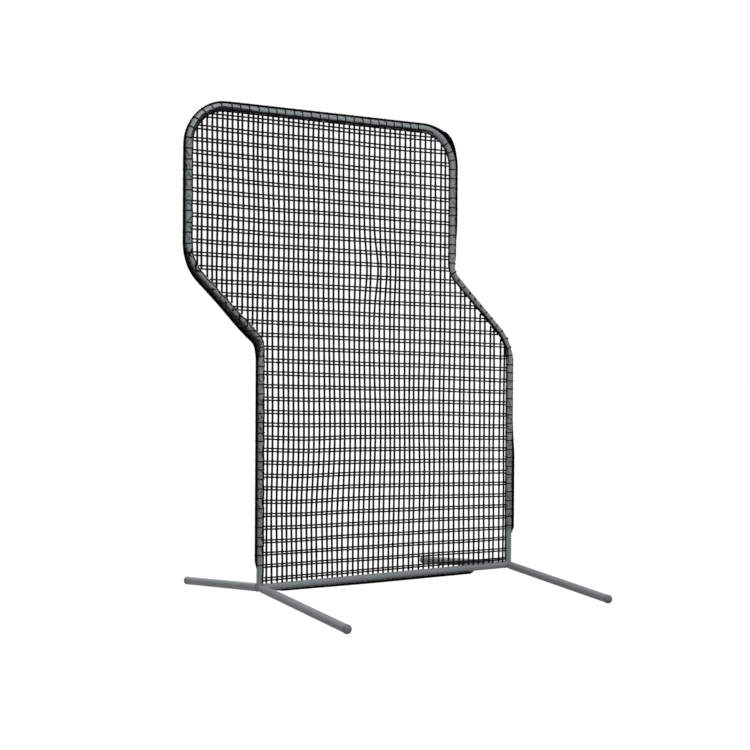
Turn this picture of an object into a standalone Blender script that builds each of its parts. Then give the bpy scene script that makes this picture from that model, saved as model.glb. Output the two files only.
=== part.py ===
"""Z-shaped pitching screen: a bent tube frame on four slip-on legs, filled by a two-layer net.

Metres, +Z up. The origin is on the floor under the middle of the bounding box. The screen stands
in the XZ plane, +Y is its rear, and the upper half is offset towards -X from the lower half.
"""
import bmesh
import bpy
from math import atan2, ceil, cos, floor, pi, radians, sin, tan
from mathutils import Matrix, Vector

# Frame tubes
FRAME_WIDTH = 1.2192          # outside of the tubes, the same for the upper and the lower half
FRAME_HEIGHT = 1.8288         # bottom of the bottom rail to top of the top rail
SHIFT = 0.3048                # sideways offset of the upper half
TUBE_R = 0.01335
TUBE_WALL = 0.0020
TUBE_SIDES = 16
CORNER_R = 0.150              # centreline bend radii
OUTER_BEND_R = 0.180          # the two bends that bulge out of the outline
INNER_BEND_R = 0.070          # the two bends in the notches
SHOULDER_MID = 1.079          # height of the slanting run's middle over the bottom rail's axis
SHOULDER_RISE = 0.287         # between the slanting run's two virtual corners
SPLICE_HEIGHT = 1.480         # where the top bow meets the side tubes, over the bottom rail's axis
BEND_STEP = radians(11.25)
GAP = 0.0003                  # left between pieces that touch

# Splices in the upper posts
SLEEVE_R = 0.01095
SLEEVE_WALL = 0.0016
SLEEVE_LENGTH = 0.120
RIVET_OFFSET = 0.035          # rivet above and below the splice
RIVET_HOLE_R = 0.0023
RIVET_SHANK_R = 0.0020
RIVET_HEAD_R = 0.0042
RIVET_HEAD_H = 0.0014
RIVET_TAIL = 0.0025           # set end standing into the sleeve's bore
RIVET_SIDES = 12

# Legs, which slip over spigots welded to the bottom corners
LEG_SLOPE = radians(5.2)      # both legs run down from the corner to the floor
LEG_R = 0.015875
LEG_WALL = 0.0021
LEG_SIDES = 20
LEG_START = 0.0170            # along the leg's axis from the corner
LEG_END = 0.6200
SPIGOT_END = 0.160
SPIGOT_R = TUBE_R
SPIGOT_WALL = 0.0020
COPE_LENGTH = 0.055           # how much of the post and the rail the spigots are coped to
PLUG_R = 0.0166
PLUG_COLLAR = 0.0105
PLUG_DOME = 0.0110
PLUG_DOME_STEPS = 4
PLUG_INSERT = 0.0240
PLUG_CORE_R = 0.0110
PLUG_RIB_R = 0.0132
PLUG_RIBS = 3
RIB_START, RIB_CREST, RIB_FOOT = 0.35, 0.65, 0.75     # parts of the pitch from rib to rib
FOOT_CUT = 0.0009             # depth of the worn flat under the middle of a plug's collar
GROUND_SLAB = 2.0             # the block under the floor that cuts the flats

# Net: every layer has one cord in three of the real net, so that a gap is 3 meshes wide
NET_MESH = 0.0476
NET_PITCH = 3 * NET_MESH
CORD_WIDTH = 0.0048
CORD_THICK = 0.0032
REAR_SHIFT = 0.5 * NET_PITCH  # the rear layer's columns stand between the front layer's
REAR_DROP = 0.0120            # and its rows a little lower
LAYER_Y = 0.0060              # each layer's middle plane, before and behind the frame's
MIN_GAP_AREA = 0.0012         # smaller corners of gaps are left closed
LOWER_ROWS = 6                # rows of gaps in the lower panels, which end just under the bends
HEM_R = 0.0038
HEM_SIDES = 8
GATHER_R = 0.0042             # extra radius where the spare net gathers under the left shoulder
GATHER_REACH = 0.200          # along the height, either way
GATHER_DROP = 0.065           # its thickest place is this far below the slanting run's middle
HEM_LEFT_END = 0.115          # heights of the hem's two ends over the bottom rail's axis
HEM_RIGHT_END = 0.135
BOTTOM_HEM_R = 0.0032
BOTTOM_HEM_FROM = -0.540      # measured from the middle of the bottom rail
BOTTOM_HEM_TO = 0.375

# Places that follow from the sizes above
RAIL_Z = ((LEG_END + GAP + PLUG_COLLAR / 2) * sin(LEG_SLOPE) + PLUG_R * cos(LEG_SLOPE) - FOOT_CUT)
TOP_Z = RAIL_Z + FRAME_HEIGHT - 2 * TUBE_R
HALF_WIDTH = FRAME_WIDTH / 2 - TUBE_R
LOWER_X = SHIFT / 2
UPPER_X = -SHIFT / 2
SHOULDER_LOW = RAIL_Z + SHOULDER_MID - SHOULDER_RISE / 2
SHOULDER_HIGH = RAIL_Z + SHOULDER_MID + SHOULDER_RISE / 2
SHOULDER_TURN = atan2(SHIFT, SHOULDER_RISE)           # how far every one of the four bends turns
SPLICE_Z = RAIL_Z + SPLICE_HEIGHT
SIDES = (("left", -1), ("right", 1))
ENDS = (("front", -1), ("rear", 1))


def clear_scene():
    for obj in list(bpy.data.objects):
        bpy.data.objects.remove(obj, do_unlink=True)


def material(name, colour, roughness, metallic):
    mat = bpy.data.materials.new(name)
    mat.use_nodes = True
    shader = mat.node_tree.nodes["Principled BSDF"]
    shader.inputs["Base Color"].default_value = (*colour, 1.0)
    shader.inputs["Roughness"].default_value = roughness
    shader.inputs["Metallic"].default_value = metallic
    mat.diffuse_color = (*colour, 1.0)
    return mat


def add_object(name, bm, mat, place=None):
    bmesh.ops.recalc_face_normals(bm, faces=bm.faces)
    mesh = bpy.data.meshes.new(name)
    bm.to_mesh(mesh)
    bm.free()
    mesh.shade_smooth()
    mesh.set_sharp_from_angle(angle=radians(35))
    obj = bpy.data.objects.new(name, mesh)
    bpy.context.scene.collection.objects.link(obj)
    if place is not None:
        obj.matrix_world = place
    obj.data.materials.append(mat)
    return obj


def as_cutter(obj):
    obj.hide_render = True
    obj.display_type = "WIRE"
    return obj


def cut(obj, cutter):
    boolean = obj.modifiers.new("cut", "BOOLEAN")
    boolean.operation = "DIFFERENCE"
    boolean.solver = "EXACT"
    boolean.object = cutter


# Flat outlines in the XZ plane

def line_crossing(point_a, dir_a, point_b, dir_b):
    across = dir_a.x * dir_b.y - dir_a.y * dir_b.x
    step = point_b - point_a
    return point_a + dir_a * ((step.x * dir_b.y - step.y * dir_b.x) / across)


def frame_corners():
    """Virtual corners of the tubes' axes, up the left side and down the right, with bend radii."""
    left_low, left_high = LOWER_X - HALF_WIDTH, UPPER_X - HALF_WIDTH
    right_low, right_high = LOWER_X + HALF_WIDTH, UPPER_X + HALF_WIDTH
    return [
        (Vector((left_low, RAIL_Z)), 0.0),
        (Vector((left_low, SHOULDER_LOW)), INNER_BEND_R),
        (Vector((left_high, SHOULDER_HIGH)), OUTER_BEND_R),
        (Vector((left_high, TOP_Z)), CORNER_R),
        (Vector((right_high, TOP_Z)), CORNER_R),
        (Vector((right_high, SHOULDER_HIGH)), INNER_BEND_R),
        (Vector((right_low, SHOULDER_LOW)), OUTER_BEND_R),
        (Vector((right_low, RAIL_Z)), 0.0),
    ]


def offset_corners(corners, outward):
    """The same chain moved outwards, which is to the left of the way the chain runs."""
    points = [corner for corner, _ in corners]
    runs = [(b - a).normalized() for a, b in zip(points, points[1:])]
    moved = []
    for index, (point, radius) in enumerate(corners):
        before = runs[max(index - 1, 0)]
        after = runs[min(index, len(runs) - 1)]
        side_before = Vector((-before.y, before.x)) * outward
        side_after = Vector((-after.y, after.x)) * outward
        turn = before.x * after.y - before.y * after.x
        if abs(turn) < 1e-6:
            moved.append((point + side_before, radius))
            continue
        corner = line_crossing(point + side_before, before, point + side_after, after)
        moved.append((corner, radius + outward if turn < 0 else radius - outward))
    return moved


def rounded(corners):
    """Points of a chain whose corners are turned into arcs."""
    points = [corners[0][0].copy()]
    for (before, _), (corner, radius), (after, _) in zip(corners, corners[1:], corners[2:]):
        if radius <= 0.0:
            points.append(corner.copy())
            continue
        way_in = (corner - before).normalized()
        way_out = (after - corner).normalized()
        turn = way_in.angle_signed(way_out)
        reach = radius * tan(abs(turn) / 2)
        start = corner - way_in * reach
        side = Vector((-way_in.y, way_in.x)) * (1 if turn < 0 else -1)
        centre = start + side * radius
        steps = max(2, round(abs(turn) / BEND_STEP))
        arm = start - centre
        for step in range(steps + 1):
            spun = arm.copy()
            spun.rotate(Matrix.Rotation(-turn * step / steps, 2))
            points.append(centre + spun)
    points.append(corners[-1][0].copy())
    return points


def lift(points, y=0.0):
    return [Vector((point.x, y, point.y)) for point in points]


def clip(outline, point, normal):
    """The part of a flat outline on the side of a line that the normal points to."""
    kept = []
    for a, b in zip(outline, outline[1:] + outline[:1]):
        reach_a, reach_b = (a - point).dot(normal), (b - point).dot(normal)
        if reach_a >= 0:
            kept.append(a)
        if (reach_a < 0) != (reach_b < 0):
            kept.append(a.lerp(b, reach_a / (reach_a - reach_b)))
    return kept


def area(outline):
    pairs = zip(outline, outline[1:] + outline[:1])
    return abs(sum(a.x * b.y - a.y * b.x for a, b in pairs)) / 2


# Solids

def swept_tube(name, path, outer_r, inner_r, sides, mat, cuts=(None, None), place=None):
    """A round tube, or a rod where inner_r is 0, along a path; cuts are its end planes' normals."""
    bm = bmesh.new()
    shells = []
    directions = [(b - a).normalized() for a, b in zip(path, path[1:])]
    across = Vector((0, 1, 0)) if abs(directions[0].y) < 0.5 else Vector((1, 0, 0))
    for radius in ([outer_r, inner_r] if inner_r else [outer_r]):
        rings = []
        for index, point in enumerate(path):
            before = directions[max(index - 1, 0)]
            after = directions[min(index, len(directions) - 1)]
            along = (before + after).normalized()
            side = across.cross(along).normalized()
            wider = 1 / along.dot(after)
            up = along.cross(side)
            plane = cuts[0] if index == 0 else cuts[1] if index == len(path) - 1 else None
            ring = []
            for step in range(sides):
                angle = 2 * pi * (step + 0.5) / sides
                spot = side * (radius * wider * cos(angle)) + up * (radius * sin(angle))
                if plane is not None:
                    spot -= along * (plane.dot(spot) / plane.dot(along))
                ring.append(bm.verts.new(point + spot))
            rings.append(ring)
        shells.append(rings)
    for rings in shells:
        for lower, upper in zip(rings, rings[1:]):
            for step in range(sides):
                following = (step + 1) % sides
                bm.faces.new((lower[step], lower[following], upper[following], upper[step]))
    for end in (0, -1):
        if inner_r:
            outer, inner = shells[0][end], shells[1][end]
            for step in range(sides):
                following = (step + 1) % sides
                bm.faces.new((outer[step], outer[following], inner[following], inner[step]))
        else:
            bm.faces.new(shells[0][end])
    return add_object(name, bm, mat, place)


def turned(name, profile, sides, mat, place=None):
    """A solid of revolution about Z from (radius, height) points that start and end on the axis."""
    bm = bmesh.new()
    verts = [bm.verts.new((radius, 0, height)) for radius, height in profile]
    edges = [bm.edges.new(pair) for pair in zip(verts, verts[1:])]
    bmesh.ops.spin(bm, geom=verts + edges, cent=(0, 0, 0), axis=(0, 0, 1), angle=2 * pi,
                   steps=sides, use_merge=True)
    bmesh.ops.remove_doubles(bm, verts=bm.verts, dist=1e-5)
    return add_object(name, bm, mat, place)


def netting(name, outline, cells, y, mat):
    """A flat grille: an outline with its gaps left open, given the cord's thickness."""
    bm = bmesh.new()
    edges = []
    for loop in [outline] + cells:
        verts = [bm.verts.new((point.x, y - CORD_THICK / 2, point.y)) for point in loop]
        edges += [bm.edges.new(pair) for pair in zip(verts, verts[1:] + verts[:1])]
    filled = bmesh.ops.triangle_fill(bm, use_beauty=True, use_dissolve=False, edges=edges)
    faces = [item for item in filled["geom"] if isinstance(item, bmesh.types.BMFace)]
    grown = bmesh.ops.extrude_face_region(bm, geom=faces)
    lifted = [item for item in grown["geom"] if isinstance(item, bmesh.types.BMVert)]
    bmesh.ops.translate(bm, verts=lifted, vec=(0, CORD_THICK, 0))
    return add_object(name, bm, mat)


# Sub-parts

def make_frame(steel):
    """The top bow, the two bent side tubes and the bottom rail, mitred to them."""
    chain = frame_corners()
    left_x, right_x = chain[0][0].x, chain[-1][0].x
    top_left, top_right = chain[3][0].x, chain[4][0].x
    seam = GAP / 2
    bow = [(Vector((top_left, SPLICE_Z + seam)), 0.0), chain[3], chain[4],
           (Vector((top_right, SPLICE_Z + seam)), 0.0)]
    bow_tube = swept_tube("top_rail_tube", lift(rounded(bow)), TUBE_R, TUBE_R - TUBE_WALL,
                          TUBE_SIDES, steel)
    left = [(Vector((left_x, RAIL_Z + seam)), 0.0), chain[1], chain[2],
            (Vector((top_left, SPLICE_Z - seam)), 0.0)]
    right = [(Vector((right_x, RAIL_Z + seam)), 0.0), chain[6], chain[5],
             (Vector((top_right, SPLICE_Z - seam)), 0.0)]
    tubes = {"top": bow_tube}
    for (label, side), corners in zip(SIDES, (left, right)):
        tubes[label] = swept_tube(f"{label}_side_tube", lift(rounded(corners)), TUBE_R,
                                  TUBE_R - TUBE_WALL, TUBE_SIDES, steel,
                                  (Vector((side, 0, 1)).normalized(), None))
    rail = lift([Vector((left_x + 2 * seam, RAIL_Z)), Vector((right_x - 2 * seam, RAIL_Z))])
    swept_tube("bottom_rail_tube", rail, TUBE_R, TUBE_R - TUBE_WALL, TUBE_SIDES, steel,
               (Vector((-1, 0, 1)).normalized(), Vector((1, 0, 1)).normalized()))
    return tubes


def make_splices(tubes, zinc):
    """A sleeve inside each upper post, with a blind rivet above and below the splice."""
    flat = cos(pi / TUBE_SIDES)
    seat = TUBE_R * flat + GAP
    tail = (SLEEVE_R - SLEEVE_WALL) * flat - RIVET_TAIL
    for (label, side), inward in zip(SIDES, (1, -1)):
        x = UPPER_X + side * HALF_WIDTH
        ends = [Vector((x, 0, SPLICE_Z + reach * SLEEVE_LENGTH / 2)) for reach in (-1, 1)]
        sleeve = swept_tube(f"{label}_splice_sleeve", ends, SLEEVE_R, SLEEVE_R - SLEEVE_WALL,
                            TUBE_SIDES, zinc)
        for place, up, tube in (("lower", -1, tubes[label]), ("upper", 1, tubes["top"])):
            centre = Vector((x, 0, SPLICE_Z + up * RIVET_OFFSET))
            aim = Matrix.Translation(centre) @ Matrix.Rotation(inward * pi / 2, 4, "Y")
            drill = turned(f"{label}_{place}_drill",
                           [(0, 0), (RIVET_HOLE_R, 0), (RIVET_HOLE_R, 2 * TUBE_R), (0, 2 * TUBE_R)],
                           RIVET_SIDES, zinc, aim)
            as_cutter(drill)
            cut(tube, drill)
            cut(sleeve, drill)
            profile = [(0, tail), (RIVET_SHANK_R, tail), (RIVET_SHANK_R, seat),
                       (RIVET_HEAD_R, seat), (RIVET_HEAD_R, seat + 0.35 * RIVET_HEAD_H),
                       (0.6 * RIVET_HEAD_R, seat + 0.85 * RIVET_HEAD_H), (0, seat + RIVET_HEAD_H)]
            turned(f"{label}_splice_rivet_{place}", profile, RIVET_SIDES, zinc, aim)


def corner_cutters(label, side, steel):
    """Fat copies of a corner's post and rail, which cope the spigots that are welded to it."""
    x = LOWER_X + side * HALF_WIDTH
    corner = Vector((x, 0, RAIL_Z))
    mitre = Vector((side, 0, 1)).normalized()
    copes = []
    for piece, way in (("post", Vector((0, 0, 1))), ("rail", Vector((-side, 0, 0)))):
        path = [corner - way * GAP, corner + way * COPE_LENGTH]
        cope = swept_tube(f"{label}_{piece}_cope", path, TUBE_R + GAP, 0, 2 * TUBE_SIDES, steel,
                          (mitre, None))
        copes.append(as_cutter(cope))
    return copes


def leg_place(side, end):
    """The matrix that puts a leg's own +Z along its axis, from the corner outwards and down."""
    corner = Vector((LOWER_X + side * HALF_WIDTH, 0, RAIL_Z))
    way = Vector((0, end * cos(LEG_SLOPE), -sin(LEG_SLOPE)))
    turn = Vector((0, 0, 1)).rotation_difference(way).to_matrix().to_4x4()
    return Matrix.Translation(corner) @ turn


def plug_profile():
    """Ribbed insert, collar and dome of a leg's end plug, with its collar's inner face at 0."""
    points = [(0, -PLUG_INSERT), (PLUG_CORE_R, -PLUG_INSERT)]
    pitch = PLUG_INSERT / PLUG_RIBS
    for rib in range(PLUG_RIBS):
        base = -PLUG_INSERT + rib * pitch
        points.append((PLUG_CORE_R, base + RIB_START * pitch))
        points.append((PLUG_RIB_R, base + RIB_CREST * pitch))
        points.append((PLUG_CORE_R, base + RIB_FOOT * pitch))
    points += [(PLUG_CORE_R, 0), (PLUG_R, 0), (PLUG_R, PLUG_COLLAR)]
    for step in range(1, PLUG_DOME_STEPS):
        angle = step / PLUG_DOME_STEPS * pi / 2
        points.append((PLUG_R * cos(angle), PLUG_COLLAR + PLUG_DOME * sin(angle)))
    points.append((0, PLUG_COLLAR + PLUG_DOME))
    return points


def make_legs(steel, plastic):
    """Four spigots coped to the corners, the legs that slip over them and the legs' end plugs."""
    bm = bmesh.new()
    bmesh.ops.create_cube(bm, size=GROUND_SLAB)
    ground = add_object("ground_cut", bm, plastic, Matrix.Translation((0, 0, -GROUND_SLAB / 2)))
    as_cutter(ground)
    for label, side in SIDES:
        copes = corner_cutters(label, side, steel)
        for end_label, end in ENDS:
            name = f"{label}_{end_label}"
            place = leg_place(side, end)
            spigot = swept_tube(f"{name}_spigot", [Vector((0, 0, 0)), Vector((0, 0, SPIGOT_END))],
                                SPIGOT_R, SPIGOT_R - SPIGOT_WALL, LEG_SIDES, steel, place=place)
            for cope in copes:
                cut(spigot, cope)
            swept_tube(f"{name}_leg", [Vector((0, 0, LEG_START)), Vector((0, 0, LEG_END))],
                       LEG_R, LEG_R - LEG_WALL, LEG_SIDES, steel, place=place)
            plug = turned(f"{name}_leg_plug", plug_profile(), LEG_SIDES, plastic,
                          place @ Matrix.Translation((0, 0, LEG_END + GAP)))
            cut(plug, ground)


def grid_steps(low, high, shift):
    """Numbers of the grid squares that reach into a span."""
    return range(floor((low - shift) / NET_PITCH), ceil((high - shift) / NET_PITCH) + 1)


def net_cells(inner, shift_x, shift_z):
    """The open gaps of one panel: grid squares less the cord's width, cut to the panel."""
    columns = grid_steps(min(p.x for p in inner), max(p.x for p in inner), shift_x)
    rows = grid_steps(min(p.y for p in inner), max(p.y for p in inner), shift_z)
    half = (NET_PITCH - CORD_WIDTH) / 2
    found = []
    for column in columns:
        for row in rows:
            centre = Vector((column * NET_PITCH + shift_x, row * NET_PITCH + shift_z))
            gap = inner
            for way in (Vector((1, 0)), Vector((-1, 0)), Vector((0, 1)), Vector((0, -1))):
                gap = clip(gap, centre + way * half, -way)
            if len(gap) > 2 and area(gap) > MIN_GAP_AREA:
                found.append(gap)
    return found


def panel(chain, outward, low_z, high_z):
    """The frame's outline moved outwards, between two heights."""
    outline = rounded(offset_corners(chain, outward))
    outline = clip(outline, Vector((0, low_z)), Vector((0, 1)))
    return clip(outline, Vector((0, high_z)), Vector((0, -1)))


def make_net(black):
    """Two flat layers in the frame's opening, each in three panels that meet near the bends."""
    chain = frame_corners()
    for end in (0, -1):
        chain[end] = (Vector((chain[end][0].x, 0.0)), 0.0)
    edge = -(TUBE_R + GAP)
    foot = RAIL_Z - edge
    seam_low = foot + LOWER_ROWS * NET_PITCH
    seam_high = SHOULDER_HIGH + INNER_BEND_R * tan(SHOULDER_TURN / 2)
    levels = (("lower", foot, seam_low - GAP / 2),
              ("shoulder", seam_low + GAP / 2, seam_high - GAP / 2),
              ("upper", seam_high + GAP / 2, TOP_Z))
    shifts = {"front": (0.0, 0.0), "rear": (REAR_SHIFT, -REAR_DROP)}
    for end_label, end in ENDS:
        shift_x, drop = shifts[end_label]
        shift_z = seam_low + NET_PITCH / 2 + drop
        for level, low_z, high_z in levels:
            outline = panel(chain, edge, low_z, high_z)
            inner = panel(chain, edge - CORD_WIDTH, low_z + CORD_WIDTH, high_z - CORD_WIDTH)
            netting(f"{end_label}_net_{level}", outline, net_cells(inner, shift_x, shift_z),
                    end * LAYER_Y, black)


def make_hems(rope):
    """The ropes in the net's edges.

    The long one lies against the outer side of the tubes, from one post's foot over the top to
    the other's, and swells where spare net gathers under the left shoulder. The short one lies
    under the bottom rail.
    """
    chain = frame_corners()
    chain[0] = (Vector((chain[0][0].x, RAIL_Z + HEM_LEFT_END)), 0.0)
    chain[-1] = (Vector((chain[-1][0].x, RAIL_Z + HEM_RIGHT_END)), 0.0)
    axis = rounded(chain)
    near = rounded(offset_corners(chain, TUBE_R + GAP))
    thickest = RAIL_Z + SHOULDER_MID - GATHER_DROP
    path, radii = [], []
    for index, (on_axis, beside) in enumerate(zip(axis, near)):
        on_left = index < len(axis) // 2
        gather = max(0.0, 1 - abs(on_axis.y - thickest) / GATHER_REACH) if on_left else 0.0
        radius = HEM_R + GATHER_R * gather
        path.append(beside + (beside - on_axis).normalized() * radius)
        radii.append(radius)
    hem_solid("net_edge_hem", lift(path), radii, rope)
    low = RAIL_Z - TUBE_R - GAP - BOTTOM_HEM_R
    ends = [Vector((LOWER_X + x, 0, low)) for x in (BOTTOM_HEM_FROM, BOTTOM_HEM_TO)]
    swept_tube("net_bottom_hem", ends, BOTTOM_HEM_R, 0, HEM_SIDES, rope)


def hem_solid(name, path, radii, mat):
    """A rope along a curve whose thickness varies: one bevelled curve with a radius a point."""
    curve = bpy.data.curves.new(name, "CURVE")
    curve.dimensions = "3D"
    curve.twist_mode = "Z_UP"
    curve.bevel_depth = 1.0
    curve.bevel_resolution = HEM_SIDES // 4
    curve.use_fill_caps = True
    spline = curve.splines.new("POLY")
    spline.points.add(len(path) - 1)
    for point, spot, radius in zip(spline.points, path, radii):
        point.co = (*spot, 1.0)
        point.radius = radius
    curve.materials.append(mat)
    obj = bpy.data.objects.new(name, curve)
    bpy.context.scene.collection.objects.link(obj)
    return obj


def main():
    clear_scene()
    steel = material("coated_steel", (0.24, 0.26, 0.27), 0.45, 0.35)
    zinc = material("zinc", (0.55, 0.56, 0.57), 0.40, 0.90)
    plastic = material("plug_plastic", (0.15, 0.16, 0.165), 0.55, 0.0)
    black = material("net_cord", (0.015, 0.015, 0.016), 0.85, 0.0)
    rope = material("hem_rope", (0.008, 0.008, 0.009), 0.85, 0.0)
    tubes = make_frame(steel)
    make_splices(tubes, zinc)
    make_legs(steel, plastic)
    make_net(black)
    make_hems(rope)


main()
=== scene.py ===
"""Looks of the Z-shaped pitching screen: tubes, welds, legs, knotted net, ropes, light and camera.

Lengths are in metres. The screen stands in the XZ plane, with +Y to the rear. An angle round a tube
is 0 on the frame's outer side and a quarter turn at the rear.
"""
import random
from collections import namedtuple
from math import cos, pi, radians, sin, tan

import bpy
import numpy as np
from mathutils import Matrix, Vector


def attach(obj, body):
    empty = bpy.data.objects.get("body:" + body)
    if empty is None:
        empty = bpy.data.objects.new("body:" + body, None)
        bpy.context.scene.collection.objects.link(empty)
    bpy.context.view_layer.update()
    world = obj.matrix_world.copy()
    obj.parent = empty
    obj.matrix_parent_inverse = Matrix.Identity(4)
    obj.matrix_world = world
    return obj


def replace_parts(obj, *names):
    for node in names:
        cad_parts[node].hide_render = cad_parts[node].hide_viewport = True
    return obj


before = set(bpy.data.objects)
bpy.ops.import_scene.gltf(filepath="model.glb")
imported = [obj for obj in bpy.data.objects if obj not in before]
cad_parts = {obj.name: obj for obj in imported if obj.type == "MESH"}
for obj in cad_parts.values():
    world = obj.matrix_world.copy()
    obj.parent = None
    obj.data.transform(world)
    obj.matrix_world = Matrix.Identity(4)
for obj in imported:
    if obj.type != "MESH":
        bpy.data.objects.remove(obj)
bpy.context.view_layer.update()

# Sizes of the part
FRAME_WIDTH = 1.2192
FRAME_HEIGHT = 1.8288
SHIFT = 0.3048  # the upper half's offset to the left
TUBE_R = 0.01335
TUBE_WALL = 0.0020
CORNER_R = 0.150  # the bends' radii, to the tubes' axis
OUTER_BEND_R = 0.180
INNER_BEND_R = 0.070
SHOULDER_MID = 1.079  # heights over the bottom rail
SHOULDER_RISE = 0.287
SPLICE_HEIGHT = 1.480
GAP = 0.0003  # clearance between pieces that meet
LEG_SLOPE = radians(5.2)
LEG_R = 0.015875
LEG_WALL = 0.0021
LEG_START = 0.0170  # distances from the frame's corner
LEG_END = 0.6200
PLUG_R = 0.0166
PLUG_COLLAR = 0.0105
PLUG_DOME = 0.0110
PLUG_INSERT = 0.0240
PLUG_CORE_R = 0.0110
PLUG_RIB_R = 0.0132
FOOT_CUT = 0.0009  # depth of the flat that a plug stands on
EDGE_ROPE_R = 0.0048
EDGE_ROPE_LEFT_END = 0.075  # heights over the bottom rail
EDGE_ROPE_RIGHT_END = 0.135

RAIL_Z = (LEG_END + GAP + PLUG_COLLAR / 2) * sin(LEG_SLOPE) + PLUG_R * cos(LEG_SLOPE) - FOOT_CUT
TOP_Z = RAIL_Z + FRAME_HEIGHT - 2 * TUBE_R
HALF_WIDTH = FRAME_WIDTH / 2 - TUBE_R
LOWER_X = SHIFT / 2
UPPER_X = -SHIFT / 2
SHOULDER_LOW = RAIL_Z + SHOULDER_MID - SHOULDER_RISE / 2
SHOULDER_HIGH = RAIL_Z + SHOULDER_MID + SHOULDER_RISE / 2
SPLICE_Z = RAIL_Z + SPLICE_HEIGHT
FOOT_ROPE_AND_SHADE_R = 0.0038  # at its left end; part of this thickness is painted shade under the rail
FOOT_ROPE_FROM = LOWER_X - 0.540
FOOT_ROPE_TO = LOWER_X + 0.411

# Sizes of the looks
TUBE_SIDES = 40
LEG_SIDES = 48
ROPE_SIDES = 12
CORD_SIDES = 6
BEAD_SIDES = 8
BEAD_R = 0.0013  # the welds' beads
BEND_STEP = radians(3.0)
SHARP_EDGE = radians(40)
CHAMFER = 0.0006  # at the tubes' cut ends and the plugs' collars
COLUMN_R = 0.0040  # the net's twine, in the columns and in the rows
ROW_R = 0.0033
KNOT = 1.30  # a knot's thickness, in twines
KNOT_REACH = 0.0060
MID_TWINE = 0.97  # the twine's thickness half-way between two knots
HITCH_TWINE = 0.90  # and round the rail
HITCH_LEAN = 0.65  # a hitch's way to the side, for its way to the rear
ROW_PITCH = 0.0482  # the mesh as it hangs, from row to row
COLUMN_PITCH = 0.0471  # and from column to column in the middle, wider to the right
COLUMN_GROWTH = 0.000193
MIDDLE_COLUMN = 15
COLUMNS = 32
ROWS = 37
TOP_ROW_Z = 1.8430  # front layer's uppermost row
FRONT_COLUMN_X = -0.0324  # middle columns of the two layers
REAR_COLUMN_X = -0.0490
REAR_ROWS = -0.0115  # the rear layer's rows, from the front layer's
LAYER_DEPTH = 0.0045  # the layers' distance from the tubes' plane
TIED_SHARE = 0.8  # what is left of it where they are tied to the tubes
FREE_OF_TUBE = 0.030  # how far from a tube it is whole again
FREE_OF_RAIL = 0.060  # and how far from the rail the rows are no longer held straight
BILLOW = 0.0012  # the net's slow waves to front and rear
COLUMN_PLAY = 0.0016  # how far a column or a row may be out of place
ROW_PLAY = 0.0006
SELVAGE_R = 0.0023
TICK_STEP = 0.0384  # lacing turns along the tubes
LOW_TICK_STEP = 0.0360  # and along the lower posts
TICK_R = 0.0021
LACE_KNOT_R = 0.0030  # the lacing's knots on the right slope
LACE_KNOT_REACH = 0.0052  # half their length
EDGE_ROPE_LAY = 0.022  # length in which a rope's strands wind once round it
FOOT_ROPE_LAY = 0.020

rng = random.Random(7)


# Outlines

def line_crossing(point_a, dir_a, point_b, dir_b):
    """Where two lines in the screen's plane cross."""
    across = dir_a.x * dir_b.y - dir_a.y * dir_b.x
    step = point_b - point_a
    return point_a + dir_a * ((step.x * dir_b.y - step.y * dir_b.x) / across)


def ways_beside(points):
    """The way a line runs before and after each of its points."""
    runs = [(b - a).normalized() for a, b in zip(points, points[1:])]
    return zip(runs[:1] + runs, runs + runs[-1:])


def frame_corners(left_foot=RAIL_Z, right_foot=RAIL_Z):
    """The tubes' axis as corners with their bends' radii, from the left foot to the right."""
    left_low, left_high = LOWER_X - HALF_WIDTH, UPPER_X - HALF_WIDTH
    right_low, right_high = LOWER_X + HALF_WIDTH, UPPER_X + HALF_WIDTH
    return [(Vector((x, z)), radius) for x, z, radius in (
        (left_low, left_foot, 0.0),
        (left_low, SHOULDER_LOW, INNER_BEND_R),
        (left_high, SHOULDER_HIGH, OUTER_BEND_R),
        (left_high, TOP_Z, CORNER_R),
        (right_high, TOP_Z, CORNER_R),
        (right_high, SHOULDER_HIGH, INNER_BEND_R),
        (right_low, SHOULDER_LOW, OUTER_BEND_R),
        (right_low, right_foot, 0.0))]


def offset_corners(corners, outward):
    """The same outline, moved outwards or, by a negative amount, inwards."""
    ways = ways_beside([point for point, _ in corners])
    moved = []
    for (point, radius), (before, after) in zip(corners, ways):
        side_before = Vector((-before.y, before.x)) * outward
        side_after = Vector((-after.y, after.x)) * outward
        turn = before.x * after.y - before.y * after.x
        if abs(turn) < 1e-6:
            moved.append((point + side_before, radius))
            continue
        corner = line_crossing(point + side_before, before, point + side_after, after)
        moved.append((corner, radius + outward if turn < 0 else radius - outward))
    return moved


def rounded(corners, bend_step=BEND_STEP):
    """The points of an outline whose corners are bent to their radii."""
    points = [corners[0][0].copy()]
    for (before, _), (corner, radius), (after, _) in zip(corners, corners[1:], corners[2:]):
        way_in = (corner - before).normalized()
        way_out = (after - corner).normalized()
        turn = way_in.angle_signed(way_out)
        reach = radius * tan(abs(turn) / 2)
        start = corner - way_in * reach
        side = Vector((-way_in.y, way_in.x)) * (1 if turn < 0 else -1)
        centre = start + side * radius
        steps = max(2, round(abs(turn) / bend_step))
        arm = start - centre
        for step in range(steps + 1):
            spun = arm.copy()
            spun.rotate(Matrix.Rotation(-turn * step / steps, 2))
            points.append(centre + spun)
    points.append(corners[-1][0].copy())
    return points


def unit(rows):
    return rows / np.linalg.norm(rows, axis=1)[:, None]


def smooth(value):
    value = np.clip(value, 0.0, 1.0)
    return value * value * (3 - 2 * value)


def rise(value, start, reach):
    """0 up to start, 1 from a reach further on, smooth between."""
    return smooth((value - start) / reach)


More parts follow.
